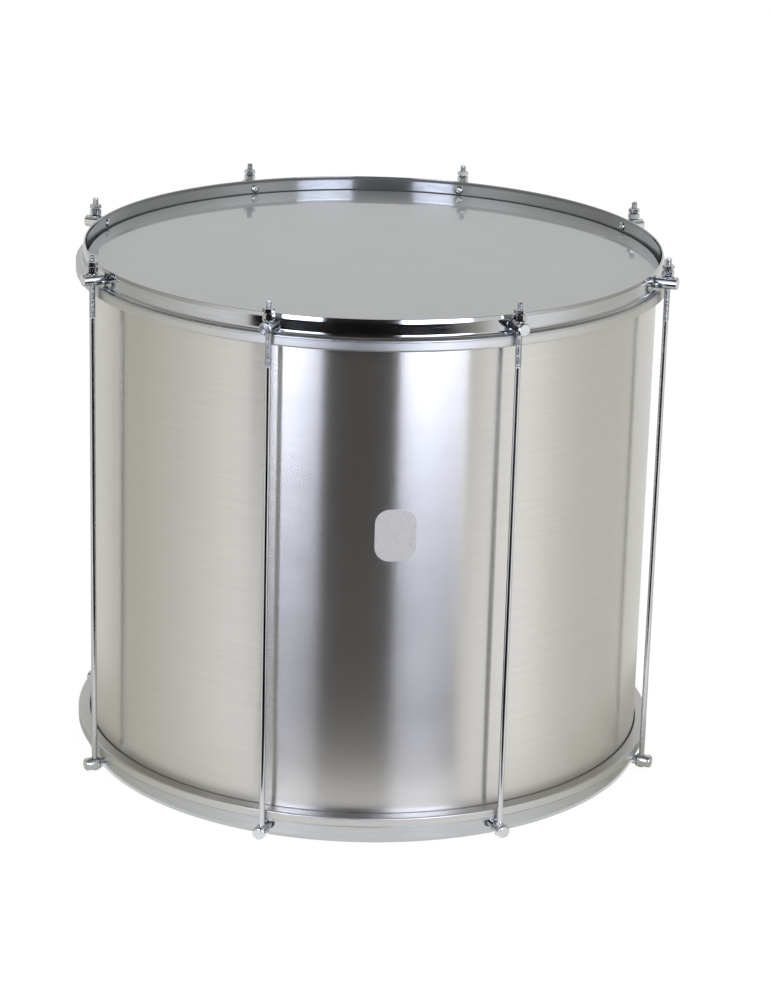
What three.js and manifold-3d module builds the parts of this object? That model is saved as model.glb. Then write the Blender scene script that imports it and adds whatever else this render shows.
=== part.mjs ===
// A surdo: a large two-headed bass drum with eight long tension rods.
// Millimetres, +Z up. The origin is the centre of the circle on which the drum stands.
// The front of the drum, midway between two rods, faces -Y.
import * as THREE from 'three';
import { mergeVertices } from 'three/addons/utils/BufferGeometryUtils.js';
import Module from 'manifold-3d';

const wasm = await Module();
wasm.setup();

// Driving dimensions of the whole drum
const drumHeight = 509;             // from the lower rim to the upper rim
const shellDiameter = 551;          // outside of the aluminium tube
const shellWall = 1.2;
const headRecess = 14.5;            // from a rim down to its playing surface
const stationCount = 8;             // tension rods round the drum
const ringFacets = 56;              // flats round every ring, a multiple of stationCount
const seatGap = 0.3;                // clearance between pieces that touch
const cutOverrun = 1;               // how far every cutter runs past what it cuts
const mergeShare = 0.001;           // corners closer than this share of a seat gap are one

// Shell: the turned-in bearing edge
const edgeReach = 7;                // how far the edge turns inwards
const edgeRoll = 2.4;               // radius of the rounded edge
const edgeDrop = 5;                 // height of the turned-in tongue

// Drum head: plastic film with a collar
const filmThickness = 0.3;
const collarFlare = 4.2;            // the collar's run outwards to the flesh hoop
const collarDrop = 6.2;             // and its drop on the way
const collarTail = 5.2;             // the straight end of the film inside the channel

// Flesh hoop: an aluminium channel ring
const fleshGap = 0.9;               // running clearance round the shell
const fleshWidth = 11.9;
const fleshHeight = 8.2;
const fleshWall = 1.3;
const fleshLip = 2.4;               // how much lower the channel's inner wall is

// Counterhoop: a wall with an outward flange that presses on the flesh hoop
const hoopClearance = 4.1;          // from the shell to the inside of the wall
const hoopWall = 1.6;
const hoopHeight = 19.6;
const flangeThickness = 2;
const hoopFillet = 1.6;             // sloped root between wall and flange

// Posts: turned lugs riveted through the counterhoop's wall
const postDrop = 9.6;               // from a rim to a post's centre line
const topPostRadius = 6;
const barrelRadius = 6.3;           // thick end of a bottom post
const neckRadius = 4.6;             // and its neck
const neckLength = 8.4;
const neckFillet = 1.8;             // sloped shoulder from neck to barrel
const postReach = 10.2;             // from the rod's centre to a post's end
const postChamfer = 0.9;
const endRound = 2.6;               // rounding on the end of a bottom post
const spotDepth = 0.9;              // flat cut on a post where a washer or a rod's end seats
const tailRadius = 2.6;             // rivet tail through the wall
const tailClearance = 0.35;
const rivetRadius = 4.2;
const rivetHeight = 1.9;
const postSides = 12;

// Tension rods
const rodStandOff = 4.7;            // from the flesh hoop's outside to the rod's centre
const rodRadius = 2.65;             // plain shank
const threadRadius = 3;
const threadLength = 61;            // thread from the tip down
const tipHeight = 14.5;             // tip of the rod above the upper rim
const tipChamfer = 0.8;
const rodClearance = 0.3;           // round the thread, in posts, nuts and washers
const peenRadius = 4.2;             // the peened lower end
const peenHeight = 1.3;
const rodSides = 10;

// Nuts and washers
const washerRadius = 5.9;
const washerThickness = 1.4;
const nutFlats = 10;                // across the flats
const tuningNutHeight = 5.8;
const lockNutHeight = 4.7;
const nutChamfer = 0.7;
const nutSides = 6;

// Label on the front of the shell
const labelWidth = 38;
const labelHeight = 50;
const labelCorner = 14;
const labelThickness = 0.3;
const labelCentre = 304;            // height of its middle
const labelAcross = 5.8;            // how far its middle lies to the right of the front
const labelArcSteps = 4;            // straight pieces in each rounded corner

// Sizes that follow
const shellRadius = shellDiameter / 2;
const filmTop = drumHeight - headRecess;
const shellTop = filmTop - filmThickness - seatGap;
const fleshInner = shellRadius + fleshGap;
const fleshOuter = fleshInner + fleshWidth;
const hoopInner = shellRadius + hoopClearance;
const hoopOuter = hoopInner + hoopWall;
const flangeBottom = drumHeight - hoopHeight;
const flangeTop = flangeBottom + flangeThickness;
const fleshTop = flangeBottom - seatGap;
const fleshBottom = fleshTop - fleshHeight;
const rodCircle = fleshOuter + rodStandOff;
const postEnd = rodCircle + postReach;
const topPostHeight = drumHeight - postDrop;
const topSpot = topPostHeight + topPostRadius - spotDepth;
const rodTip = drumHeight + tipHeight;
const rodHole = threadRadius + rodClearance;
const rodHeadTop = postDrop - barrelRadius + spotDepth - seatGap;
const stationAngle = 2 * Math.PI / stationCount;
const halfFacet = Math.PI / ringFacets;
// A ring's flats lie this share of its corner radius from the axis
const flatShare = Math.cos(halfFacet);

// Materials, one for each finish
const finishes = {
  shell: { color: 0xc9c8c5, metalness: 1, roughness: 0.32 },
  chrome: { color: 0xe3e4e6, metalness: 1, roughness: 0.08 },
  fleshHoop: { color: 0xcfcecb, metalness: 1, roughness: 0.28 },
  film: { color: 0xb3b4b3, metalness: 0, roughness: 0.15 },
  zinc: { color: 0xc4c5c6, metalness: 1, roughness: 0.25 },
  label: { color: 0xe9e9e6, metalness: 0, roughness: 0.4 },
};

function material(finish) {
  return new THREE.MeshStandardMaterial(finishes[finish]);
}

// A closed solid from a three.js geometry whose shared corners are merged
function solid(geometry) {
  const bare = geometry.index ? geometry.toNonIndexed() : geometry.clone();
  bare.deleteAttribute('normal');
  bare.deleteAttribute('uv');
  const merged = mergeVertices(bare, seatGap * mergeShare);
  const corners = [];
  for (let i = 0; i < merged.index.count; i += 3) {
    const [a, b, c] = merged.index.array.slice(i, i + 3);
    if (a !== b && b !== c && c !== a) corners.push(a, b, c);
  }
  return new wasm.Manifold(new wasm.Mesh({
    numProp: 3,
    vertProperties: new Float32Array(merged.attributes.position.array),
    triVerts: new Uint32Array(corners),
  }));
}

function geometryOf(body) {
  const mesh = body.getMesh();
  const geometry = new THREE.BufferGeometry();
  const points = new Float32Array(mesh.vertProperties);
  geometry.setAttribute('position', new THREE.BufferAttribute(points, 3));
  geometry.setIndex(new THREE.BufferAttribute(new Uint32Array(mesh.triVerts), 1));
  geometry.computeVertexNormals();
  return geometry;
}

// A profile of [radius, height] corners, anticlockwise, turned round Z
function turned(corners, sides, startAngle = 0) {
  const points = corners.map(([radius, height]) => new THREE.Vector2(radius, height));
  if (corners[0][0] > 0) points.push(points[0].clone());
  const geometry = new THREE.LatheGeometry(points, sides, startAngle, 2 * Math.PI);
  geometry.rotateX(Math.PI / 2);
  return geometry;
}

// Rings have a corner of their outline on the -Y axis, so each station meets a flat
function ring(corners) {
  return solid(turned(corners, ringFacets));
}

// The same section upside down, for the lower half of the drum
function mirrored(corners) {
  return corners.map(([radius, height]) => [radius, drumHeight - height]).reverse();
}

// A round bar from profile corners [radius, distance from the drum's axis], lying along +X
function radialBar(corners) {
  const bar = turned(corners, postSides, Math.PI / postSides);
  bar.rotateY(Math.PI / 2);
  return bar;
}

function upright(radius, bottom, top, sides) {
  return turned([[0, bottom], [radius, bottom], [radius, top], [0, top]], sides);
}

// The corner radius of a hole whose flats still clear a given round size
function holeCorner(radius, sides) {
  return radius / Math.cos(Math.PI / sides);
}

// The upper half of the shell's wall: a turned-in edge that ends in a short tongue
function shellEdge() {
  const tongue = shellRadius - edgeReach;
  return [
    [shellRadius, shellTop - edgeRoll],
    [shellRadius - edgeRoll, shellTop],
    [tongue + edgeRoll, shellTop],
    [tongue, shellTop - edgeRoll],
    [tongue, shellTop - edgeDrop],
    [tongue + shellWall, shellTop - edgeDrop],
    [tongue + shellWall, shellTop - edgeRoll],
    [shellRadius - shellWall, shellTop - edgeRoll],
  ];
}

function headSection() {
  const bend = shellRadius;
  const flareEnd = bend + collarFlare;
  const under = filmTop - filmThickness;
  return [
    [0, under],
    [bend, under],
    [flareEnd, under - collarDrop],
    [flareEnd, under - collarDrop - collarTail],
    [flareEnd + filmThickness, under - collarDrop - collarTail],
    [flareEnd + filmThickness, filmTop - collarDrop],
    [bend + filmThickness, filmTop],
    [0, filmTop],
  ];
}

function fleshSection() {
  const innerTop = fleshTop - fleshLip;
  const floor = fleshBottom + fleshWall;
  return [
    [fleshInner, fleshBottom],
    [fleshOuter, fleshBottom],
    [fleshOuter, fleshTop],
    [fleshOuter - fleshWall, fleshTop],
    [fleshOuter - fleshWall, floor],
    [fleshInner + fleshWall, floor],
    [fleshInner + fleshWall, innerTop],
    [fleshInner, innerTop],
  ];
}

function hoopSection() {
  return [
    [hoopInner, flangeBottom],
    [fleshOuter, flangeBottom],
    [fleshOuter, flangeTop],
    [hoopOuter + hoopFillet, flangeTop],
    [hoopOuter, flangeTop + hoopFillet],
    [hoopOuter, drumHeight],
    [hoopInner, drumHeight],
  ];
}

// A counterhoop with a hole in its wall for each post's rivet tail
function buildHoop(section, tailHeight) {
  let hoop = ring(section);
  const hole = holeCorner(tailRadius + tailClearance, postSides);
  const from = hoopInner - cutOverrun;
  const to = hoopOuter + cutOverrun;
  for (let station = 0; station < stationCount; station++) {
    const cutter = radialBar([[0, from], [hole, from], [hole, to], [0, to]]);
    cutter.rotateZ(angleOf(station));
    cutter.translate(0, 0, tailHeight);
    hoop = hoop.subtract(solid(cutter));
  }
  return hoop;
}

function angleOf(station) {
  return -Math.PI / 2 + stationAngle * (station + 1 / 2);
}

// The rivet that both kinds of post share: round head inside the wall, tail through it
function rivetCorners() {
  const wallInside = hoopInner * flatShare - seatGap;
  const domeTop = wallInside - rivetHeight;
  const shoulder = hoopOuter * flatShare + seatGap;
  return [
    [0, domeTop],
    [rivetRadius - rivetHeight, domeTop],
    [rivetRadius, wallInside - rivetHeight / 2],
    [rivetRadius, wallInside],
    [tailRadius, wallInside],
    [tailRadius, shoulder],
  ];
}

function topPostCorners() {
  const shoulder = hoopOuter * flatShare + seatGap;
  return [
    ...rivetCorners(),
    [topPostRadius - postChamfer, shoulder],
    [topPostRadius, shoulder + postChamfer],
    [topPostRadius, postEnd - postChamfer],
    [topPostRadius - postChamfer, postEnd],
    [0, postEnd],
  ];
}

function bottomPostCorners() {
  const shoulder = hoopOuter * flatShare + seatGap;
  return [
    ...rivetCorners(),
    [neckRadius, shoulder],
    [neckRadius, shoulder + neckLength - neckFillet],
    [barrelRadius, shoulder + neckLength],
    [barrelRadius, postEnd - endRound],
    [barrelRadius - endRound / 2, postEnd - endRound / 4],
    [barrelRadius - endRound, postEnd],
    [0, postEnd],
  ];
}

// A post, cross-drilled for the rod, with a seat cut flat above (side 1) or below (side -1)
function buildPost(corners, radius, seatRadius, side) {
  let post = solid(radialBar(corners));
  const hole = upright(holeCorner(rodHole, rodSides), -radius - cutOverrun, radius + cutOverrun, rodSides);
  hole.translate(rodCircle, 0, 0);
  post = post.subtract(solid(hole));
  const seat = 2 * (seatRadius + seatGap);
  const cutter = new THREE.BoxGeometry(seat, 4 * radius, 2 * spotDepth);
  cutter.translate(rodCircle, 0, side * radius);
  return post.subtract(solid(cutter));
}

function buildRod() {
  const threadStart = rodTip - threadLength;
  return solid(turned([
    [0, rodHeadTop - peenHeight],
    [peenRadius - tipChamfer, rodHeadTop - peenHeight],
    [peenRadius, rodHeadTop - peenHeight / 2],
    [peenRadius, rodHeadTop],
    [rodRadius, rodHeadTop],
    [rodRadius, threadStart],
    [threadRadius, threadStart],
    [threadRadius, rodTip - tipChamfer],
    [threadRadius - tipChamfer, rodTip],
    [0, rodTip],
  ], rodSides));
}

function buildWasher(bottom) {
  const bore = holeCorner(rodHole, rodSides);
  const top = bottom + washerThickness;
  return solid(turned([[bore, bottom], [washerRadius, bottom], [washerRadius, top], [bore, top]], rodSides));
}

// A hexagonal nut: a six-sided bar whose corners are turned off by a cone, then bored
function buildNut(bottom, height) {
  const corner = nutFlats / 2 / Math.cos(Math.PI / nutSides);
  const top = bottom + height;
  const prism = solid(upright(corner, bottom, top, nutSides));
  const face = corner - nutChamfer;
  const chamfer = solid(turned([
    [0, bottom],
    [face, bottom],
    [corner + cutOverrun, bottom + nutChamfer + cutOverrun],
    [corner + cutOverrun, top - nutChamfer - cutOverrun],
    [face, top],
    [0, top],
  ], 2 * nutSides));
  const bore = holeCorner(rodHole, rodSides);
  const hole = solid(upright(bore, bottom - cutOverrun, top + cutOverrun, rodSides));
  return prism.intersect(chamfer).subtract(hole);
}

// The label follows the shell's flats: a rounded outline cut out of a thin ring
function buildLabel() {
  const halfWidth = labelWidth / 2;
  const halfHeight = labelHeight / 2;
  const outline = new THREE.Shape();
  const middleX = halfWidth - labelCorner;
  const middleY = halfHeight - labelCorner;
  outline.absarc(middleX, middleY, labelCorner, 0, Math.PI / 2);
  outline.absarc(-middleX, middleY, labelCorner, Math.PI / 2, Math.PI);
  outline.absarc(-middleX, -middleY, labelCorner, Math.PI, 3 * Math.PI / 2);
  outline.absarc(middleX, -middleY, labelCorner, 3 * Math.PI / 2, 2 * Math.PI);
  const block = new THREE.ExtrudeGeometry(outline, {
    depth: shellDiameter,
    bevelEnabled: false,
    curveSegments: labelArcSteps,
  });
  block.rotateX(Math.PI / 2);
  block.translate(labelAcross, 0, labelCentre);
  const inner = shellRadius + seatGap;
  const outer = inner + labelThickness;
  const low = labelCentre - labelHeight;
  const high = labelCentre + labelHeight;
  const skin = ring([[inner, low], [outer, low], [outer, high], [inner, high]]);
  return skin.intersect(solid(block));
}

// The assembly
const surdo = new THREE.Group();

function place(name, body, finish, parent = surdo) {
  const mesh = new THREE.Mesh(geometryOf(body), material(finish));
  mesh.name = name;
  parent.add(mesh);
  return mesh;
}

place('shell', ring([...shellEdge(), ...mirrored(shellEdge())]), 'shell');
place('top_head', ring(headSection()), 'film');
place('top_flesh_hoop', ring(fleshSection()), 'fleshHoop');
place('top_hoop', buildHoop(hoopSection(), topPostHeight), 'chrome');
place('bottom_head', ring(mirrored(headSection())), 'film');
place('bottom_flesh_hoop', ring(mirrored(fleshSection())), 'fleshHoop');
place('bottom_hoop', buildHoop(mirrored(hoopSection()), postDrop), 'chrome');
place('label', buildLabel(), 'label');

const topPost = buildPost(topPostCorners(), topPostRadius, washerRadius, 1);
const bottomPost = buildPost(bottomPostCorners(), barrelRadius, peenRadius, -1);
const rod = buildRod();
const washerBottom = topSpot + seatGap;
const tuningNutBottom = washerBottom + washerThickness + seatGap;
const lockNutBottom = tuningNutBottom + tuningNutHeight + seatGap;
const washer = buildWasher(washerBottom);
const tuningNut = buildNut(tuningNutBottom, tuningNutHeight);
const lockNut = buildNut(lockNutBottom, lockNutHeight);

for (let station = 0; station < stationCount; station++) {
  const spoke = new THREE.Group();
  spoke.rotation.z = angleOf(station);
  surdo.add(spoke);
  const number = station + 1;
  place(`top_post_${number}`, topPost, 'chrome', spoke).position.z = topPostHeight;
  place(`bottom_post_${number}`, bottomPost, 'chrome', spoke).position.z = postDrop;
  place(`tension_rod_${number}`, rod, 'zinc', spoke).position.x = rodCircle;
  place(`washer_${number}`, washer, 'zinc', spoke).position.x = rodCircle;
  place(`tuning_nut_${number}`, tuningNut, 'zinc', spoke).position.x = rodCircle;
  place(`lock_nut_${number}`, lockNut, 'zinc', spoke).position.x = rodCircle;
}

export default surdo;
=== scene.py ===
# A surdo: a bare aluminium shell, two film heads, chromed counterhoops and eight tension rods.
import math

import bpy
import numpy as np
from mathutils import Matrix, Vector


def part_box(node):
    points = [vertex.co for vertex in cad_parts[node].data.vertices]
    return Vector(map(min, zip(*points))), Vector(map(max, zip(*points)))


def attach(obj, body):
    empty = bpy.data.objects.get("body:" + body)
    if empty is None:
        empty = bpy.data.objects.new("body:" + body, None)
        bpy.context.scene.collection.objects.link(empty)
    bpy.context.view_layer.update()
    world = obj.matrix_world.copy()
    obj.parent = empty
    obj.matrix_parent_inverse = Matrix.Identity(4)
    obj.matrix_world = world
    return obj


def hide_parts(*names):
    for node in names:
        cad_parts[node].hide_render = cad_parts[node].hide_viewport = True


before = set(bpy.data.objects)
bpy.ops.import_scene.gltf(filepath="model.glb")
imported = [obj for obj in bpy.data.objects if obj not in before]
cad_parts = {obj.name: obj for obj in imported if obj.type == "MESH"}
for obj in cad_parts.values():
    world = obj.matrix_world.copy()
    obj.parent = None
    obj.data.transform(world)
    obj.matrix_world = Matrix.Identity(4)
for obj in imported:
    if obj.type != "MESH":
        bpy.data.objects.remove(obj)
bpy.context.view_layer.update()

MM = 0.001

# Sizes read from the frame: a ring's corners lie on the Y axis, so its box gives its radius
shell_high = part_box("shell")[1]
shell_radius = shell_high.y
film_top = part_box("top_head")[1].z
flesh_low, flesh_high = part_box("top_flesh_hoop")
flesh_outer = flesh_high.y
hoop_low, hoop_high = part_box("top_hoop")
drum_height = hoop_high.z
rod_low, rod_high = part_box("tension_rod_1")
rod_middle = (rod_low + rod_high) / 2
rod_circle = math.hypot(rod_middle.x, rod_middle.y)
top_post_low, top_post_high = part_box("top_post_1")
bottom_post_low, bottom_post_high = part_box("bottom_post_1")
label_low, label_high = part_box("label")

# Sizes that the frame doesn't give
shell_wall = 1.2 * MM
edge_roll = 2.4 * MM
edge_reach = 7 * MM
edge_drop = 5 * MM
film_thickness = 0.3 * MM
collar_bend = 1.2 * MM
collar_flare = 4.2 * MM
collar_drop = 6.2 * MM
collar_tail = 5.2 * MM
flesh_gap = 0.9 * MM
hoop_gap = 4.1 * MM
hoop_wall = 1.6 * MM
flange_thickness = 2 * MM
top_post_radius = 6 * MM
barrel_radius = 6.3 * MM
neck_radius = 4.6 * MM
neck_length = 8.4 * MM
rivet_radius = 4.2 * MM
rivet_height = 1.9 * MM
tail_radius = 2.6 * MM
thread_radius = 3 * MM
thread_root = 2.4 * MM
thread_pitch = 1 * MM
thread_length = 61 * MM
shank_radius = 2.65 * MM
peen_radius = 4.2 * MM
nut_flats = 10 * MM
post_overhang = 10.2 * MM            # how far a post reaches past its rod's centre
post_sink = 0.25 * MM                # how far its shoulder sits in the hoop's wall
stations = 8

# A point this close to a fillet or an edge keeps the straight stretch beside it flat
hold = 0.01 * MM

hoop_inner = shell_radius + hoop_gap
hoop_outer = hoop_inner + hoop_wall
post_shoulder = hoop_outer - post_sink
post_end = rod_circle + post_overhang
top_post_height = top_post_low.z + top_post_radius
bottom_post_height = bottom_post_high.z - barrel_radius


# Meshes

def grid_mesh(name, points, uv, closed_rows=False, closed_columns=True, sharp_degrees=32):
    """Rows of points, each a loop or line, joined to the next row by four-sided faces.

    A row whose points all fall together is a pole, and becomes one point with a fan of triangles.
    """
    rows, columns = points.shape[:2]
    index = np.arange(rows * columns).reshape(rows, columns)
    for pole in (0, rows - 1):
        if not closed_rows and np.ptp(points[pole], axis=0).max() < 1e-9:
            index[pole] = index[pole, 0]
    if closed_rows:
        index = np.vstack([index, index[:1]])
    if closed_columns:
        index = np.hstack([index, index[:, :1]])
    corner_row, corner_column = np.indices(index.shape)

    def corners(grid):
        return np.stack([grid[:-1, :-1], grid[:-1, 1:], grid[1:, 1:], grid[1:, :-1]], -1).reshape(-1, 4)

    face, face_row, face_column = corners(index), corners(corner_row), corners(corner_column)
    keep = np.stack([
        np.ones(len(face), bool),
        face[:, 0] != face[:, 1],
        np.ones(len(face), bool),
        face[:, 2] != face[:, 3],
    ], -1)
    lengths = keep.sum(1)
    used, packed = np.unique(face[keep], return_inverse=True)
    mesh = bpy.data.meshes.new(name)
    mesh.vertices.add(len(used))
    mesh.vertices.foreach_set("co", points.reshape(-1, 3)[used].astype(np.float32).ravel())
    mesh.loops.add(len(packed))
    mesh.polygons.add(len(face))
    mesh.polygons.foreach_set("loop_start", (np.cumsum(lengths) - lengths).astype(np.int32))
    mesh.polygons.foreach_set("vertices", packed.astype(np.int32))
    mesh.update(calc_edges=True)
    layer = mesh.uv_layers.new(name="surface")
    layer.data.foreach_set("uv", uv[face_row[keep], face_column[keep]].astype(np.float32).ravel())
    mesh.polygons.foreach_set("use_smooth", np.ones(len(face), bool))
    mesh.set_sharp_from_angle(angle=math.radians(sharp_degrees))
    mesh.validate()
    return mesh


def placed(name, data):
    """A new object in the scene, which holds a mesh, a lamp or a camera."""
    thing = bpy.data.objects.new(name, data)
    bpy.context.scene.collection.objects.link(thing)
    return thing


def piece(name, mesh, material, slot, body, *nodes):
    """One finished piece: its place is in its mesh, and it stands for the CAD nodes named."""
    mesh.materials.append(material)
    thing = placed(name, mesh)
    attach(thing, body)
    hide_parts(*nodes)


def filleted(corners, steps=5):
    """A closed outline of (x, y, fillet) corners; each fillet is an arc tangent to both sides.

    The arc's middle lies on the bisector at fillet / sin(half the corner's angle) from the corner.
    A fillet takes up less than half of either side, and a holding point lies just past each end.
    """
    side_share = 0.49
    outline = []
    spots = np.array([corner[:2] for corner in corners], float)
    fillets = [corner[2] for corner in corners]
    for i, (here, fillet) in enumerate(zip(spots, fillets)):
        if fillet == 0:
            outline.append(here[None])
            continue
        back = spots[i - 1] - here
        ahead = spots[(i + 1) % len(corners)] - here
        back_length, ahead_length = np.linalg.norm(back), np.linalg.norm(ahead)
        back, ahead = back / back_length, ahead / ahead_length
        half = np.arccos(np.clip(back @ ahead, -1, 1)) / 2
        run = min(fillet / np.tan(half), side_share * back_length, side_share * ahead_length)
        fillet = run * np.tan(half)
        bisector = (back + ahead) / np.linalg.norm(back + ahead)
        middle = here + bisector * fillet / np.sin(half)
        start, end = here + back * run - middle, here + ahead * run - middle
        first = np.arctan2(start[1], start[0])
        turn = (np.arctan2(end[1], end[0]) - first + np.pi) % (2 * np.pi) - np.pi
        angles = first + turn * np.linspace(0, 1, steps + 1)
        arc = middle + fillet * np.stack([np.cos(angles), np.sin(angles)], -1)
        outline.append(np.vstack([here + back * (run + hold), arc, here + ahead * (run + hold)]))
    return np.vstack(outline)


def revolved(profile, columns):
    """Carries every (radius, height) of a profile round Z: x = radius cos a, y = radius sin a.

    The UV map holds metres: round the axis at the widest radius, and along the profile.
    """
    angles = np.linspace(0, 2 * np.pi, columns, endpoint=False)
    radius, height = profile[:, 0][:, None], profile[:, 1][:, None]
    points = np.stack(np.broadcast_arrays(radius * np.cos(angles), radius * np.sin(angles), height), -1)
    along = np.concatenate([[0], np.cumsum(np.linalg.norm(np.diff(profile, axis=0), axis=1))])
    along = np.append(along, along[-1] + np.linalg.norm(profile[0] - profile[-1]))
    around = np.linspace(0, 2 * np.pi, columns + 1) * profile[:, 0].max()
    uv = np.stack(np.meshgrid(around, along), -1)
    return points, uv


def ring_mesh(name, section, columns=448):
    """A section carried round the drum's axis, closed on itself."""
    points, uv = revolved(filleted(section), columns)
    return grid_mesh(name, points, uv, closed_rows=True)


def head_mesh(name, section, columns=256):
    """A section that starts and ends on the drum's axis, carried round it."""
    points, uv = revolved(filleted(section, 4), columns)
    return grid_mesh(name, points, uv)


def upside_down(section):
    """The same section on the lower half of the drum, still anticlockwise."""
    return [(radius, drum_height - height, fillet) for radius, height, fillet in reversed(section)]


def station_angle(number):
    """The angle of a station's box middle, as seen from above."""
    low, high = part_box(f"tension_rod_{number}")
    return math.atan2(low.y + high.y, low.x + high.x)


def turned_about_z(points, angle):
    """Points turned about the drum's axis: x becomes x cos a - y sin a, and y x sin a + y cos a."""
    c, s = math.cos(angle), math.sin(angle)
    return points @ np.array([[c, s, 0], [-s, c, 0], [0, 0, 1]])


def on_spoke(points, number):
    """Moves a part built round Z out to its station's rod centre."""
    return turned_about_z(points + np.array([rod_circle, 0, 0]), station_angle(number))


# Sections of the rings, as anticlockwise (radius, height, fillet) corners

def shell_section():
    """A tube with both ends turned in as a rounded bearing edge and a short tongue."""
    tongue = shell_radius - edge_reach
    tongue_fillet = 0.2 * MM
    inside = shell_radius - shell_wall
    inner_roll = edge_roll - shell_wall
    top = shell_high.z
    upper = [
        (shell_radius, top, edge_roll),
        (tongue, top, edge_roll),
        (tongue, top - edge_drop, tongue_fillet),
        (tongue + shell_wall, top - edge_drop, tongue_fillet),
        (tongue + shell_wall, top - shell_wall, inner_roll),
        (inside, top - shell_wall, inner_roll),
    ]
    bands = 24
    low = drum_height - top + edge_roll
    high = top - edge_roll
    outside = [(shell_radius, low + (high - low) * band / bands, 0) for band in range(1, bands)]
    return upper + upside_down(upper) + outside


def film_section():
    """A flat skin whose collar runs over the bearing edge and down into the flesh hoop."""
    bend = shell_radius + collar_bend
    bend_fillet = 2 * MM
    flare = shell_radius + collar_flare
    under = film_top - film_thickness
    end = under - collar_drop - collar_tail
    rings = [(bend * share, film_top, 0) for share in (0.97, 0.7, 0.35)]
    return [
        (0, under, 0),
        (bend, under, bend_fillet),
        (flare, under - collar_drop, bend_fillet),
        (flare, end, 0),
        (flare + film_thickness, end, 0),
        (flare + film_thickness, film_top - collar_drop, bend_fillet),
        (bend + film_thickness, film_top, bend_fillet),
        *rings,
        (0, film_top, 0),
    ]


def flesh_section():
    """An extruded channel, open upwards. Its face draws in slightly towards the open side, and its
    outer edges are rounded."""
    inner = shell_radius + flesh_gap
    outer = flesh_outer
    rise = 0.25 * MM                 # closes most of the gap to the hoop's flange
    bottom, top = flesh_low.z, flesh_high.z + rise
    wall = 1.3 * MM
    lip = 2.4 * MM
    draft = 0.1 * MM
    inner_heel = 1.1 * MM
    outer_heel = 1.7 * MM
    mouth = 0.3 * MM
    groove = 0.5 * MM
    return [
        (inner, bottom, inner_heel),
        (outer, bottom, outer_heel),
        (outer - draft, top, mouth),
        (outer - draft - wall, top, mouth),
        (outer - wall, bottom + wall, groove),
        (inner + wall, bottom + wall, groove),
        (inner + wall, top - lip, groove),
        (inner, top - lip, groove),
    ]


def hoop_section():
    """An upright wall with a curled upper edge and an outward flange that presses the flesh hoop."""
    low = hoop_low.z
    flange = low + flange_thickness
    curl = 0.9 * MM
    curl_height = 3.6 * MM
    curl_bend = 5 * MM
    inner_heel = 1.4 * MM
    outer_heel = 0.25 * MM
    flange_edge = 0.9 * MM
    flange_root = 3.4 * MM
    rim = 0.7 * MM
    return [
        (hoop_inner, low, inner_heel),
        (flesh_outer, low, outer_heel),
        (flesh_outer, flange, flange_edge),
        (hoop_outer, flange, flange_root),
        (hoop_outer, drum_height - curl_height, curl_bend),
        (hoop_outer - curl, drum_height, rim),
        (hoop_inner - curl, drum_height, rim),
        (hoop_inner, drum_height - curl_height, curl_bend),
    ]


# Posts, rods, nuts and washers

def radial_bar(profile, columns=48):
    """Turns a (radius, distance from the drum's axis) profile round a level spoke.

    It is carried round Z and then laid down along X: (x, y, z) becomes (z, y, -x).
    """
    points, uv = revolved(profile, columns)
    return np.stack([points[..., 2], points[..., 1], -points[..., 0]], -1), uv


def rivet_profile():
    """The clenched rivet inside the wall, a dome with a centre dimple, and its tail.

    The dimple is dimple_depth * cos(share * 90 degrees) squared deep, and the dome is a quarter
    of an ellipse.
    """
    gap = 0.35 * MM
    edge = 0.1 * MM
    seat = hoop_inner - gap
    dimple_radius = 1.15 * MM
    dimple_depth = 0.9 * MM
    steps = np.linspace(0, 1, 6)
    dimple = np.stack([
        dimple_radius * steps,
        seat - rivet_height + dimple_depth * np.cos(steps * np.pi / 2) ** 2,
    ], -1)
    turn = np.linspace(0, np.pi / 2, 7)[1:]
    dome = np.stack([
        dimple_radius + (rivet_radius - dimple_radius) * np.sin(turn),
        seat - rivet_height * np.cos(turn),
    ], -1)
    tail = np.array([[rivet_radius - edge, seat], [tail_radius, seat], [tail_radius, post_shoulder]])
    return np.vstack([dimple, dome, tail])


def turned_end(radius, end):
    """A lathe-faced end: grooves ring_pitch apart, each ring_depth * (1 - cos(2 pi r / pitch)) / 2 deep."""
    ring_pitch = 1.15 * MM
    ring_depth = 0.022 * MM
    across = np.linspace(radius, 0, 41)
    wave = 0.5 - 0.5 * np.cos(2 * np.pi * across / ring_pitch)
    return np.stack([across, end - ring_depth * wave], -1)


def seat_cut(points, reach, level, side):
    """Flattens what lies beyond a level plane near the rod, as the seat of a washer or a rod's foot."""
    near = np.abs(points[..., 0] - rod_circle) <= reach
    beyond = points[..., 2] * side > level
    points[..., 2] = np.where(near & beyond, level * side, points[..., 2])
    return points


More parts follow.
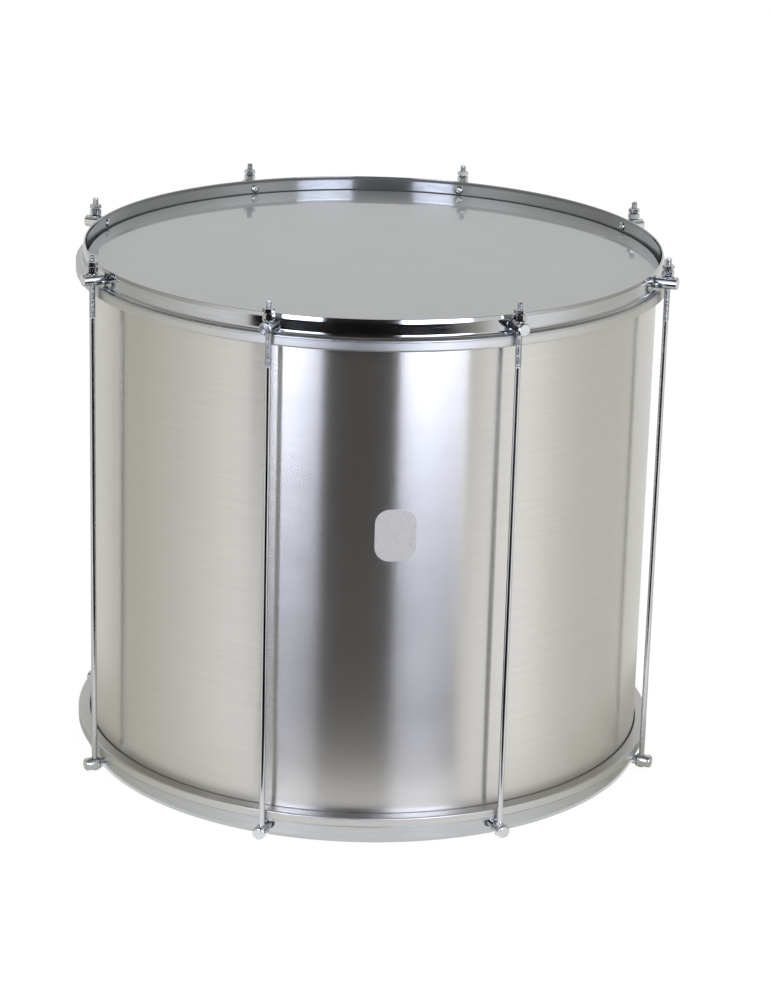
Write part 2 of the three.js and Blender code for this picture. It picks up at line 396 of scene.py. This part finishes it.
def top_post_mesh(name, number):
    """A plain round lug with a rivet, a chamfer at both ends and a seat for the washer on top."""
    chamfer = 0.9 * MM
    seat_reach = 6.2 * MM
    seat_start, seat_end = rod_circle - seat_reach, rod_circle + seat_reach
    body = np.array([
        [top_post_radius - chamfer, post_shoulder],
        [top_post_radius, post_shoulder + chamfer],
        [top_post_radius, post_shoulder + chamfer + hold],
        [top_post_radius, seat_start - hold],
        [top_post_radius, seat_start + hold],
        [top_post_radius, rod_circle],
        [top_post_radius, seat_end - hold],
        [top_post_radius, seat_end + hold],
        [top_post_radius, post_end - chamfer - hold],
        [top_post_radius, post_end - chamfer],
    ])
    profile = np.vstack([rivet_profile(), body, turned_end(top_post_radius - chamfer, post_end)])
    points, uv = radial_bar(profile)
    level = top_post_high.z - top_post_height
    points = seat_cut(points, seat_reach, level, 1)
    points = turned_about_z(points + np.array([0, 0, top_post_height]), station_angle(number))
    return grid_mesh(name, points, uv)


def bottom_post_mesh(name, number):
    """A riveted lug with a thin neck, a thicker round-ended barrel and a seat for the rod's foot.

    The neck widens to the barrel by a quarter of an ellipse, blend long, and the barrel's end is
    rounded by a quarter circle.
    """
    neck_end = hoop_outer + neck_length
    blend = 1.9 * MM
    land = 0.3 * MM
    end_round = 2.4 * MM
    seat_reach = 4.5 * MM
    seat_start, seat_end = rod_circle - seat_reach, rod_circle + seat_reach
    turn = np.linspace(0, np.pi / 2, 8)
    hollow = np.stack([
        neck_radius + (barrel_radius - neck_radius) * (1 - np.cos(turn)),
        neck_end - blend + blend * np.sin(turn),
    ], -1)
    dome = np.stack([
        barrel_radius - end_round * (1 - np.cos(turn)),
        post_end - end_round * (1 - np.sin(turn)),
    ], -1)
    body = np.vstack([
        [[neck_radius, post_shoulder], [neck_radius, neck_end - blend - hold]],
        hollow,
        [[barrel_radius, neck_end + land]],
        [[barrel_radius, seat_start - hold], [barrel_radius, seat_start + hold]],
        [[barrel_radius, seat_end - hold], [barrel_radius, seat_end + hold]],
        dome,
    ])
    profile = np.vstack([rivet_profile(), body, turned_end(barrel_radius - end_round - hold, post_end)])
    points, uv = radial_bar(profile)
    level = bottom_post_height - bottom_post_low.z
    points = seat_cut(points, seat_reach, level, -1)
    points = turned_about_z(points + np.array([0, 0, bottom_post_height]), station_angle(number))
    return grid_mesh(name, points, uv)


def rod_mesh(name, number):
    """A bar with a peened foot, a plain shank and a rolled thread.

    The thread's radius is root + (crest - root) * ridge(z / pitch - angle / turn), where ridge is
    a triangle wave with its crest and root cut flat, and fades out where the thread starts.
    """
    low, high = rod_low.z, rod_high.z
    foot_height = 1.3 * MM
    foot_edge = 0.3 * MM
    foot_back = low + foot_height + 0.2 * MM
    shank_start = foot_back + 0.05 * MM
    start = high - thread_length
    start_gap = 0.2 * MM
    runout = 1.5 * thread_pitch
    chamfer = 0.8 * MM
    taper = 1.4 * chamfer
    tip_height = 0.05 * MM
    tip_edge = thread_root - 0.1 * MM
    tip_radius = thread_root - 0.25 * MM
    foot = np.linspace(0, np.pi / 2, 6)
    bottom = np.stack([peen_radius * np.sin(foot), low + foot_height * (1 - np.cos(foot))], -1)
    shank = np.array([
        [peen_radius - foot_edge, foot_back],
        [shank_radius, shank_start],
        [shank_radius, foot_back + MM],
        [shank_radius, low + 0.33 * (start - low)],
        [shank_radius, low + 0.66 * (start - low)],
        [shank_radius, start - start_gap],
    ])
    rows_per_turn = 10
    thread_rows = int(round(thread_length / thread_pitch * rows_per_turn))
    heights = np.linspace(start, high - chamfer, thread_rows)
    thread = np.stack([np.full(thread_rows, thread_radius), heights], -1)
    tip = np.array([[tip_edge, high - tip_height], [tip_radius, high], [0, high]])
    profile = np.vstack([bottom, shank, thread, tip])
    points, uv = revolved(profile, 20)
    angle = np.arctan2(points[..., 1], points[..., 0]) / (2 * np.pi)
    height = points[..., 2]
    start_turn = 0.37 * number       # no two threads start at the same side of their rods
    root_share, flank_share = 0.25, 0.62
    phase = (height / thread_pitch - angle + start_turn) % 1
    ridge = np.clip((np.abs(phase - 0.5) * 2 - root_share) / flank_share, 0, 1)
    fade = np.clip((height - start) / runout, 0, 1)
    tip_fade = np.clip((high - height) / taper, 0, 1)
    cut = thread_root + (thread_radius - thread_root) * ridge * tip_fade
    cut = shank_radius + (cut - shank_radius) * fade
    threaded = (np.arange(len(profile)) >= len(bottom) + len(shank)) & (profile[:, 0] == thread_radius)
    scale = np.where(threaded[:, None], cut / thread_radius, 1)
    points[..., :2] *= scale[..., None]
    return grid_mesh(name, on_spoke(points, number), uv)


def washer_mesh(name, number):
    """A flat ring with rounded edges, round its rod."""
    low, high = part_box(f"washer_{number}")
    inset = 0.05 * MM
    outer = (high.x - low.x) / 2 - inset
    bore = thread_radius + 0.2 * MM
    edge = 0.35 * MM
    bore_edge = 0.1 * MM
    section = [
        (bore, low.z, bore_edge),
        (outer, low.z, edge),
        (outer, high.z, edge),
        (bore, high.z, bore_edge),
    ]
    points, uv = revolved(filleted(section, 4), 48)
    return grid_mesh(name, on_spoke(points, number), uv, closed_rows=True)


def nut_turn(number, offset, step):
    """The turn that puts a flat to the drum's front, but for a few degrees that change by station."""
    front = -90
    return math.radians(front + offset + step * (number % 3)) - station_angle(number)


def nut_mesh(name, number, turn):
    """A hexagonal nut. At angle a its flats lie at apothem / cos(a), a measured from a flat's middle,
    and 28.6 degrees from there the corner is rounded off.

    Both ends are turned by a cone of 30 degrees from the edge of the round face out to the corners.
    """
    low, high = (corner.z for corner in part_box(name))
    apothem = nut_flats / 2
    face = apothem - 0.85 * MM
    face_hold = face - 0.3 * MM
    bore = thread_radius + 0.06 * MM
    sink = 0.45 * MM
    side_hold = 0.15 * MM
    rounding, cone = math.radians(28.6), math.radians(30)
    flat = np.radians([-30, -29, -27.5, -25, -20, -13, -6, 0, 6, 13, 20, 25, 27.5, 29])
    angles = (np.radians(60) * np.arange(6)[:, None] + flat).ravel()
    side = np.minimum(apothem / np.cos(np.tile(flat, 6)), apothem / math.cos(rounding))
    fall = (side - face) * math.tan(cone)
    middle = (low + high) / 2
    rows = [
        (bore, low + sink),
        (bore + sink, low),
        (face_hold, low),
        (face, low),
        (side, low + fall),
        (side, low + fall + side_hold),
        (side, middle),
        (side, high - fall - side_hold),
        (side, high - fall),
        (face, high),
        (face_hold, high),
        (bore + sink, high),
        (bore, high - sink),
    ]
    radius = np.array([np.broadcast_to(row[0], side.shape) for row in rows])
    height = np.array([np.broadcast_to(row[1], side.shape) for row in rows])
    points = np.stack([radius * np.cos(angles + turn), radius * np.sin(angles + turn), height], -1)
    around = np.append(angles, angles[0] + 2 * np.pi) * apothem
    uv = np.stack(np.meshgrid(around, np.arange(len(rows) + 1) * MM), -1)
    return grid_mesh(name, on_spoke(points, number), uv, closed_rows=True, sharp_degrees=20)


def label_mesh(name):
    """A rounded oblong laid on the shell: rows step from its middle to its rim and down its edge.

    A point at (across, up) on the flat label goes to angle across / radius on the round shell.
    """
    half_width = (label_high.x - label_low.x) / 2
    half_height = (label_high.z - label_low.z) / 2
    centre = (label_high.x + label_low.x) / 2
    middle = (label_high.z + label_low.z) / 2
    thickness = 0.25 * MM
    clearance = 0.03 * MM
    corner = 14 * MM
    corners = [
        (-half_width, -half_height, corner),
        (half_width, -half_height, corner),
        (half_width, half_height, corner),
        (-half_width, half_height, corner),
    ]
    outline = filleted(corners, 14)
    shares = np.array([0, 0.2, 0.4, 0.6, 0.8, 0.95, 1, 1])
    lift = np.array([1, 1, 1, 1, 1, 1, 0.6, 0]) * thickness
    across = shares[:, None] * outline[:, 0]
    up = shares[:, None] * outline[:, 1]
    angle = -np.pi / 2 + (centre + across) / shell_radius
    radius = shell_radius + clearance + lift[:, None]
    points = np.stack([radius * np.cos(angle), radius * np.sin(angle), middle + up], -1)
    around = np.hstack([across, across[:, :1]])
    upward = np.hstack([up, up[:, :1]])
    return grid_mesh(name, points, np.stack([around, upward], -1))


# Materials

def linear(hex_colour):
    """An sRGB colour such as "#c8c8c4" as linear red, green, blue and 1."""
    srgb = [int(hex_colour[i:i + 2], 16) / 255 for i in (1, 3, 5)]
    return tuple(c / 12.92 if c <= 0.04045 else ((c + 0.055) / 1.055) ** 2.4 for c in srgb) + (1,)


def add_node(tree, kind, inputs=(), **settings):
    """Adds one node. Settings are its properties; inputs are values, or sockets to link."""
    node = tree.nodes.new(kind)
    for key, value in settings.items():
        setattr(node, key, value)
    for key, value in dict(inputs).items():
        if isinstance(value, bpy.types.NodeSocket):
            tree.links.new(value, node.inputs[key])
        else:
            node.inputs[key].default_value = value
    return node


def empty_tree(owner):
    """The node tree of a material or a world, cleared."""
    owner.use_nodes = True
    owner.node_tree.nodes.clear()
    return owner.node_tree


def shade(tree, inputs):
    """Ends a material with its shader. A value that is the same all over sits on its own socket."""
    shader = add_node(tree, "ShaderNodeBsdfPrincipled", inputs)
    add_node(tree, "ShaderNodeOutputMaterial", {"Surface": shader.outputs[0]})


def grain(tree, coordinates, size, detail=3, roughness=0.55):
    """Noise whose grains measure size = (x, y, z) metres."""
    scaled = add_node(tree, "ShaderNodeMapping", {
        "Vector": coordinates,
        "Scale": tuple(1 / s for s in size),
    })
    noise = add_node(tree, "ShaderNodeTexNoise", {
        "Vector": scaled.outputs["Vector"],
        "Scale": 1.0,
        "Detail": detail,
        "Roughness": roughness,
    })
    return noise.outputs["Fac"]


def between(tree, source, low, high, start=0.3, end=0.7):
    """Maps a pattern that runs from start to end onto values from low to high."""
    mapped = add_node(tree, "ShaderNodeMapRange", {
        "Value": source,
        "From Min": start,
        "From Max": end,
        "To Min": low,
        "To Max": high,
    })
    return mapped.outputs["Result"]


def tinted(tree, source, dark, light):
    """A colour between two hex colours, chosen by a pattern."""
    mixed = add_node(tree, "ShaderNodeMix", {
        "Factor": between(tree, source, 0, 1),
        "A": linear(dark),
        "B": linear(light),
    }, data_type="RGBA")
    return mixed.outputs[2]          # the result as a colour; 0 is a number and 1 a vector


def brushed_aluminium():
    """Bare aluminium sheet, belt-brushed round its girth: reflections smear up and down into
    upright bands, and stay crisp from side to side. The brush lines are drawn at 1.3 mm, since
    the real ones, a tenth of that, wouldn't show. A little less than full metal gives its haze."""
    material = bpy.data.materials.new("brushed_bare_aluminium")
    tree = empty_tree(material)
    place = add_node(tree, "ShaderNodeTexCoord").outputs["Object"]
    lines = grain(tree, place, (70 * MM, 70 * MM, 1.3 * MM), 4, 0.7)
    smudges = grain(tree, place, (90 * MM, 90 * MM, 60 * MM), 2)
    rough = add_node(tree, "ShaderNodeMath", {
        0: between(tree, lines, 0.227, 0.243),
        1: between(tree, smudges, -0.01, 0.01),
    }, operation="ADD")
    scratches = add_node(tree, "ShaderNodeBump", {"Height": lines, "Distance": 0.009 * MM})
    tangent = add_node(tree, "ShaderNodeTangent", direction_type="RADIAL", axis="Z")
    shade(tree, {
        "Base Color": tinted(tree, lines, "#cbc9c5", "#d1cfcb"),
        "Metallic": 0.92,
        "Roughness": rough.outputs[0],
        "Anisotropic": 1.0,
        "Anisotropic Rotation": 0.25,
        "Normal": scratches.outputs[0],
        "Tangent": tangent.outputs[0],
    })
    return material


def rolled_aluminium():
    """Extruded aluminium bent to a ring: satin, with draw lines along its length."""
    material = bpy.data.materials.new("rolled_satin_aluminium")
    tree = empty_tree(material)
    place = add_node(tree, "ShaderNodeTexCoord").outputs["Object"]
    lines = grain(tree, place, (60 * MM, 60 * MM, 0.9 * MM), 3, 0.6)
    scratches = add_node(tree, "ShaderNodeBump", {"Height": lines, "Distance": 0.02 * MM})
    tangent = add_node(tree, "ShaderNodeTangent", direction_type="RADIAL", axis="Z")
    shade(tree, {
        "Base Color": tinted(tree, lines, "#c0bfbc", "#cac9c7"),
        "Metallic": 1.0,
        "Roughness": between(tree, lines, 0.34, 0.42),
        "Anisotropic": 0.1,
        "Anisotropic Rotation": 0.25,
        "Normal": scratches.outputs[0],
        "Tangent": tangent.outputs[0],
    })
    return material


def hoop_chrome():
    """Chromed rolled steel: a mirror on its upright wall, slightly wavy where the roller pressed it,
    and satin on the flange, which isn't polished."""
    material = bpy.data.materials.new("polished_hoop_chrome")
    tree = empty_tree(material)
    place = add_node(tree, "ShaderNodeTexCoord").outputs["Object"]
    waves = grain(tree, place, (22 * MM, 22 * MM, 9 * MM), 1)
    haze = grain(tree, place, (35 * MM, 35 * MM, 2 * MM), 4, 0.65)
    level = add_node(tree, "ShaderNodeVectorMath", {0: place, 1: (1, 1, 0)}, operation="MULTIPLY")
    radius = add_node(tree, "ShaderNodeVectorMath", {0: level.outputs[0]}, operation="LENGTH")
    satin_start, satin_end = hoop_outer + 0.6 * MM, hoop_outer + 2 * MM
    rough = add_node(tree, "ShaderNodeMath", {
        0: between(tree, haze, 0.06, 0.12),
        1: between(tree, radius.outputs["Value"], 0, 0.2, satin_start, satin_end),
    }, operation="ADD")
    wavy = add_node(tree, "ShaderNodeBump", {"Height": waves, "Distance": 0.1 * MM, "Strength": 0.6})
    shade(tree, {
        "Base Color": tinted(tree, haze, "#b7b9bb", "#bfc1c3"),
        "Metallic": 1.0,
        "Roughness": rough.outputs[0],
        "Normal": wavy.outputs[0],
    })
    return material


def turned_chrome():
    """Steel turned on a lathe, then chromed: bright, with fine rings that the tool left."""
    material = bpy.data.materials.new("turned_post_chrome")
    tree = empty_tree(material)
    place = add_node(tree, "ShaderNodeUVMap", uv_map="surface").outputs["UV"]
    rings = grain(tree, place, (400 * MM, 0.45 * MM, 1), 2)
    grooves = add_node(tree, "ShaderNodeBump", {"Height": rings, "Distance": 0.01 * MM})
    shade(tree, {
        "Base Color": tinted(tree, rings, "#c9cbcd", "#d5d7d9"),
        "Metallic": 1.0,
        "Roughness": between(tree, rings, 0.12, 0.2),
        "Normal": grooves.outputs[0],
    })
    return material


def zinc_steel(name="bright_zinc_steel", thread_haze=0.0):
    """Drawn steel with bright zinc plate: greyer than chrome, softly mottled. The haze is what the
    rolling of a thread adds above the plain shank."""
    material = bpy.data.materials.new(name)
    tree = empty_tree(material)
    place = add_node(tree, "ShaderNodeTexCoord").outputs["Object"]
    mottle = grain(tree, place, (14 * MM, 14 * MM, 30 * MM), 2)
    height = add_node(tree, "ShaderNodeSeparateXYZ", {"Vector": place}).outputs["Z"]
    start = rod_high.z - thread_length
    rough = add_node(tree, "ShaderNodeMath", {
        0: between(tree, mottle, 0.1, 0.15),
        1: between(tree, height, 0, thread_haze, start - MM, start + MM),
    }, operation="ADD")
    shade(tree, {
        "Base Color": tinted(tree, mottle, "#c2c4c6", "#cccdcf"),
        "Metallic": 1.0,
        "Roughness": rough.outputs[0],
    })
    return material


def polyester_film():
    """Milky polyester film: grey beneath a clean gloss. Both of its faces reflect, which the
    coat stands for."""
    material = bpy.data.materials.new("milky_polyester_film")
    tree = empty_tree(material)
    place = add_node(tree, "ShaderNodeTexCoord").outputs["Object"]
    cloud = grain(tree, place, (60 * MM, 60 * MM, 60 * MM), 2)
    shade(tree, {
        "Base Color": tinted(tree, cloud, "#808385", "#848789"),
        "Metallic": 0.0,
        "Roughness": between(tree, cloud, 0.38, 0.45),
        "IOR": 1.6,
        "Coat Weight": 1.0,
        "Coat Roughness": 0.04,
        "Coat IOR": 1.55,
    })
    return material


def label_film():
    """A plain sticker of coated paper: off-white, slightly glossy, faintly mottled."""
    material = bpy.data.materials.new("coated_paper_label")
    tree = empty_tree(material)
    place = add_node(tree, "ShaderNodeTexCoord").outputs["Object"]
    mottle = grain(tree, place, (3 * MM, 3 * MM, 3 * MM), 4)
    fibres = add_node(tree, "ShaderNodeBump", {"Height": mottle, "Distance": 0.02 * MM})
    shade(tree, {
        "Base Color": tinted(tree, mottle, "#b4b3b8", "#bdbcc2"),
        "Metallic": 0.0,
        "Roughness": between(tree, mottle, 0.25, 0.4),
        "IOR": 1.5,
        "Normal": fibres.outputs[0],
    })
    return material


# The drum

aluminium = brushed_aluminium()
channel = rolled_aluminium()
chrome = hoop_chrome()
post_finish = turned_chrome()
zinc = zinc_steel()
zinc_rod = zinc_steel("bright_zinc_rod", 0.09)
film = polyester_film()
paper = label_film()

lower_film_section = upside_down(film_section())
piece("shell_tube", ring_mesh("shell_tube", shell_section()), aluminium, "shell", "drum", "shell")
piece("upper_film", head_mesh("upper_film", film_section()), film, "film", "drum", "top_head")
piece("lower_film", head_mesh("lower_film", lower_film_section), film, "film", "drum", "bottom_head")
for side, flip in (("top", list), ("bottom", upside_down)):
    for kind, section, finish, slot in (
        ("flesh_hoop", flesh_section(), channel, "flesh_hoop"),
        ("hoop", hoop_section(), chrome, "hoop_chrome"),
    ):
        name = f"{side}_{kind}_ring"
        piece(name, ring_mesh(name, flip(section)), finish, slot, "drum", f"{side}_{kind}")
piece("front_label", label_mesh("front_label"), paper, "label", "drum", "label")

for number in range(1, stations + 1):
    name = f"top_lug_{number}"
    piece(name, top_post_mesh(name, number), post_finish, "post_chrome", "drum", f"top_post_{number}")
    name = f"bottom_lug_{number}"
    piece(name, bottom_post_mesh(name, number), post_finish, "post_chrome", "drum", f"bottom_post_{number}")
    name = f"threaded_rod_{number}"
    piece(name, rod_mesh(name, number), zinc_rod, "zinc_steel", "drum", f"tension_rod_{number}")
    node = f"washer_{number}"
    piece(f"plain_{node}", washer_mesh(node, number), zinc, "zinc_steel", node, node)
    for kind, offset, step in (("tuning_nut", -8, 4), ("lock_nut", 3, -5)):
        node = f"{kind}_{number}"
        mesh = nut_mesh(node, number, nut_turn(number, offset, step))
        piece(f"hex_{node}", mesh, zinc, "zinc_steel", node, node)


# Camera at the photograph's viewpoint

camera_side = 4.228                  # degrees to the left of the drum's front


def swung(first, second, angle):
    """Two square directions turned in their plane, the first away from the second."""
    c, s = math.cos(angle), math.sin(angle)
    return first * c - second * s, first * s + second * c


def build_camera():
    """Looks at a point on the drum's axis from above and a little to the left, then turns by the
    small angles that put the drum where it is in the picture."""
    distance = 3.1573
    aim_height = 0.2785
    pitch, side = math.radians(18.245), math.radians(camera_side)
    yaw, nod, roll = math.radians(0.321), math.radians(-0.583), math.radians(-1.409)
    focal_share = 3.1767             # focal length as a share of the picture's height
    towards = Vector((-math.sin(side), -math.cos(side), 0))
    up = Vector((0, 0, 1))
    place = towards * distance * math.cos(pitch) + up * (aim_height + distance * math.sin(pitch))
    forward = -towards * math.cos(pitch) - up * math.sin(pitch)
    right = Vector((math.cos(side), -math.sin(side), 0))
    above = right.cross(forward)
    right, forward = swung(right, forward, yaw)
    above, forward = swung(above, forward, nod)
    right, above = swung(right, above, roll)
    camera = placed("camera", bpy.data.cameras.new("camera"))
    camera.data.sensor_width = 36
    camera.data.lens = camera.data.sensor_width * focal_share
    camera.data.clip_end = 60
    camera.matrix_world = Matrix((
        (right.x, above.x, -forward.x, place.x),
        (right.y, above.y, -forward.y, place.y),
        (right.z, above.z, -forward.z, place.z),
        (0, 0, 0, 1),
    ))
    bpy.context.scene.camera = camera


# Studio

def seen_directly(tree):
    """1 for a ray from the camera, a mirror or glass, and 0 for light on its way."""
    path = add_node(tree, "ShaderNodeLightPath")
    first = add_node(tree, "ShaderNodeMath", {
        0: path.outputs["Is Camera Ray"],
        1: path.outputs["Is Glossy Ray"],
    }, operation="MAXIMUM")
    second = add_node(tree, "ShaderNodeMath", {
        0: first.outputs[0],
        1: path.outputs["Is Transmission Ray"],
    }, operation="MAXIMUM")
    return second.outputs[0]


def build_world():
    """White where it is seen, and a plain even light elsewhere."""
    world = bpy.data.worlds.new("studio")
    tree = empty_tree(world)
    even_light, white = 0.62, 1.0
    strength = between(tree, seen_directly(tree), even_light, white, 0, 1)
    sky = add_node(tree, "ShaderNodeBackground", {"Color": (1, 1, 1, 1), "Strength": strength})
    add_node(tree, "ShaderNodeOutputWorld", {"Surface": sky.outputs[0]})
    bpy.context.scene.world = world


def build_floor():
    """A white floor whose glow lifts what the camera sees to white and leaves the soft shadow."""
    reach = 14
    corners = [(-reach, -reach, 0), (reach, -reach, 0), (reach, reach, 0), (-reach, reach, 0)]
    mesh = bpy.data.meshes.new("floor")
    mesh.from_pydata(corners, [], [(0, 1, 2, 3)])
    material = bpy.data.materials.new("white_paper_floor")
    tree = empty_tree(material)
    glow_strength, glow_share = 1.06, 0.88
    matt = add_node(tree, "ShaderNodeBsdfDiffuse", {"Color": (0.9, 0.9, 0.9, 1)})
    glow = add_node(tree, "ShaderNodeEmission", {"Color": (1, 1, 1, 1), "Strength": glow_strength})
    share = between(tree, seen_directly(tree), 0, glow_share, 0, 1)
    mixed = add_node(tree, "ShaderNodeMixShader", {0: share, 1: matt.outputs[0], 2: glow.outputs[0]})
    add_node(tree, "ShaderNodeOutputMaterial", {"Surface": mixed.outputs[0]})
    mesh.materials.append(material)
    placed("floor", mesh)


def polar(azimuth, distance, height):
    """A point by its azimuth, which counts from the camera's side, positive to the right."""
    angle = math.radians(azimuth - camera_side)
    return (math.sin(angle) * distance, -math.cos(angle) * distance, height)


def add_softbox(name, azimuths, distance, heights, glow):
    """An upright white lamp that faces the drum's axis and spans two azimuths and two heights. Its power
    is glow * pi * area. It lights what is matt; the glowing panels show it to what is polished."""
    middle, half = (azimuths[0] + azimuths[1]) / 2, (azimuths[1] - azimuths[0]) / 2
    lamp = bpy.data.lights.new(name, "AREA")
    lamp.shape = "RECTANGLE"
    lamp.size = 2 * distance * math.tan(math.radians(half))
    lamp.size_y = heights[1] - heights[0]
    lamp.energy = glow * math.pi * lamp.size * lamp.size_y
    box = placed(name, lamp)
    box.visible_camera = False
    box.visible_glossy = False
    place = Vector(polar(middle, distance, (heights[0] + heights[1]) / 2))
    aim = Vector((0, 0, place.z)) - place
    box.matrix_world = Matrix.Translation(place) @ aim.to_track_quat("-Z", "Y").to_matrix().to_4x4()


def add_top_softbox():
    """A level lamp above the drum, which lights the film and the floor."""
    lamp = bpy.data.lights.new("top_softbox", "AREA")
    lamp.shape = "SQUARE"
    lamp.size = 1.6
    lamp.energy = 14
    behind, offset, height = 180, 0.3, 2.6
    box = placed("top_softbox", lamp)
    box.location = polar(behind, offset, height)
    box.visible_camera = False
    box.visible_glossy = False


def mirrored(azimuths, radius, table):
    """A glow for each azimuth on a circle, from a table by the azimuth that the shell mirrors.

    A mirrored ray leaves the shell at half its azimuth, so it crosses a circle at the azimuth
    a - asin(shell radius * sin(a / 2) / circle's radius).
    """
    turn = np.radians([row[0] for row in table])
    crossing = turn - np.arcsin(shell_radius * np.sin(turn / 2) / radius)
    return np.interp(azimuths, np.degrees(crossing), [row[1] for row in table])


def glow_only(name, points, colours, all_round=False):
    """A glowing grid that only polished surfaces see, with a colour of light at each point."""
    rows, columns = points.shape[:2]
    mesh = grid_mesh(name, points, np.zeros((rows, columns + 1, 2)), closed_columns=all_round)
    layer = mesh.attributes.new("glow", "FLOAT_COLOR", "POINT")
    opaque = np.hstack([colours, np.ones((len(colours), 1))])
    layer.data.foreach_set("color", opaque.astype(np.float32).ravel())
    material = bpy.data.materials.new(name)
    tree = empty_tree(material)
    glow = add_node(tree, "ShaderNodeAttribute", attribute_name="glow")
    shine = add_node(tree, "ShaderNodeEmission", {"Color": glow.outputs["Color"], "Strength": 1.0})
    add_node(tree, "ShaderNodeOutputMaterial", {"Surface": shine.outputs[0]})
    mesh.materials.append(material)
    thing = placed(name, mesh)
    thing.visible_camera = False
    thing.visible_diffuse = False
    thing.visible_shadow = False
    thing.visible_transmission = False


def add_panel(name, shares, distance, heights, colour):
    """The face of a softbox as polished surfaces see it: an upright oblong, bent round the drum.

    Its glow is a glow by height times a share by azimuth.
    """
    points = np.array([[polar(a, distance, height) for a, _ in shares] for height, _ in heights])
    glow = np.outer([glow for _, glow in heights], [share for _, share in shares]).reshape(-1, 1)
    glow_only(name, points, glow * linear(colour)[:3])


def build_surroundings():
    """The studio as only polished surfaces see it: floor, walls and ceiling with a glow for each
    azimuth. The wall behind the camera, the floor in front beyond a pale ring at the drum's foot,
    and the ceiling except at the back are dark. The ring's glow falls towards the back and sides,
    a painted shadow of the drum on the floor. The rest is pale, though the side walls darken
    above the floor, and what is darker is warmer.

    Warmth takes away green below half the glow of white, and blue below white on the front.
    """
    left = [(-180, 0.8), (-149, 0.76), (-142, 0.86), (-131, 0.82), (-124, 0.72), (-116, 0.62),
            (-106, 0.63), (-96, 0.7), (-80, 0.81), (-72, 0.89), (-58, 1.0), (-43, 0.98)]
    right = [(44, 0.97), (56, 1.12), (66, 1.19), (74, 1.08), (81, 0.94), (89, 0.84),
             (98, 0.78), (112, 0.75), (124, 0.73), (130, 0.82), (140, 0.85), (180, 0.8)]
    # Near the drum's foot the glow falls towards the back and sides: a painted shadow of the drum on the
    # floor
    near_glow_and_shadow = [(-180, 0.5), (-113, 0.6), (-99, 0.69), (-85, 0.76), (-72, 0.82), (-62, 0.88),
                 (-50, 0.95), (-34, 1.12), (-28, 1.12), (-12, 1.0), (10, 1.0), (27, 1.1), (41, 1.0),
                 (67, 0.92), (78, 0.83), (91, 0.72), (105, 0.67), (120, 0.5), (180, 0.4)]
    floor_glow = left + [(-40, 0.008), (36, 0.008), (38, 0.3), (40, 0.75)] + right
    outer_glow = left[:-1] + [(-49, 0.95), (-46, 0.008), (28, 0.008), (41, 0.45), (48, 0.93)] + right[1:]
    ahead_glow = [(-38, 0.6), (-20, 0.3), (-17, 0.02), (8, 0.02), (12, 0.3), (40, 0.85)]
    side_azimuths, side_shares = (50, 70, 125, 145), (1, 0.7, 0.7, 1)
    wall_glow = [
        (azimuth, glow * np.interp(abs(azimuth), side_azimuths, side_shares))
        for azimuth, glow in left + ahead_glow + right
    ]
    ceiling_glow = [(-180, 0.8), (-140, 0.7), (-100, 0.15), (-60, 0.05), (0, 0.04), (60, 0.06),
                    (100, 0.15), (140, 0.7), (180, 0.8)]
    far, tall, lift = 5.5, 3.6, 0.002
    cove, peak = 0.98 * far, 1.2 * tall
    near_radii = (0.284, 0.4)
    floor_radii = (0.41, 0.5, 0.6, 0.75, 1, 1.3, 1.6)
    outer_radii = (1.75, 2.2, far)
    azimuths = np.arange(-180, 180, 1.0)
    rows = [(radius, lift, near_glow_and_shadow) for radius in near_radii]
    rows += [(radius, lift, floor_glow) for radius in floor_radii]
    rows += [(radius, lift, outer_glow) for radius in outer_radii]
    rows += [(far, 2 * lift, wall_glow), (far, tall, wall_glow)]
    rows += [(cove, tall, ceiling_glow), (shell_radius, peak, ceiling_glow)]
    points = np.array([[polar(a, radius, height) for a in azimuths] for radius, height, _ in rows])
    glow = np.concatenate([mirrored(azimuths, radius, table) for radius, _, table in rows])[:, None]
    front_end, front_fade = 150, 20
    front = np.tile(np.clip((front_end - np.abs(azimuths)) / front_fade, 0, 1), len(rows))[:, None]
    green = 0.4 * np.clip(0.5 - glow, 0, 1)
    blue = 0.25 * front * np.clip(1 - glow, 0, 1)
    warmth = np.hstack([np.zeros_like(glow), green, blue])
    glow_only("surroundings", points, glow * (1 - warmth), all_round=True)


def build_studio():
    """A softbox to either side of the camera, one above the drum, and what the metal mirrors."""
    build_world()
    build_floor()
    build_surroundings()
    distance = 1.6
    lamp_heights, lamp_glow = (0.4, 1.9), 2.4
    glow_by_height = [(0.25, 7.6), (0.8, 7.6), (1.0, 1.5), (1.9, 1.5)]
    daylight = "#e5ebff"
    for side, shares in (
        ("left", [(-35, 1.05), (-29, 1.15), (-17, 0.6)]),
        ("right", [(10.5, 0.85), (19, 1.15), (27, 1.0), (34.8, 0.75)]),
    ):
        azimuths = (shares[0][0], shares[-1][0])
        add_softbox(f"{side}_softbox", azimuths, distance, lamp_heights, lamp_glow)
        add_panel(f"{side}_panel", shares, distance, glow_by_height, daylight)
    add_top_softbox()


build_camera()
build_studio()
bpy.context.scene.view_settings.view_transform = "Standard"
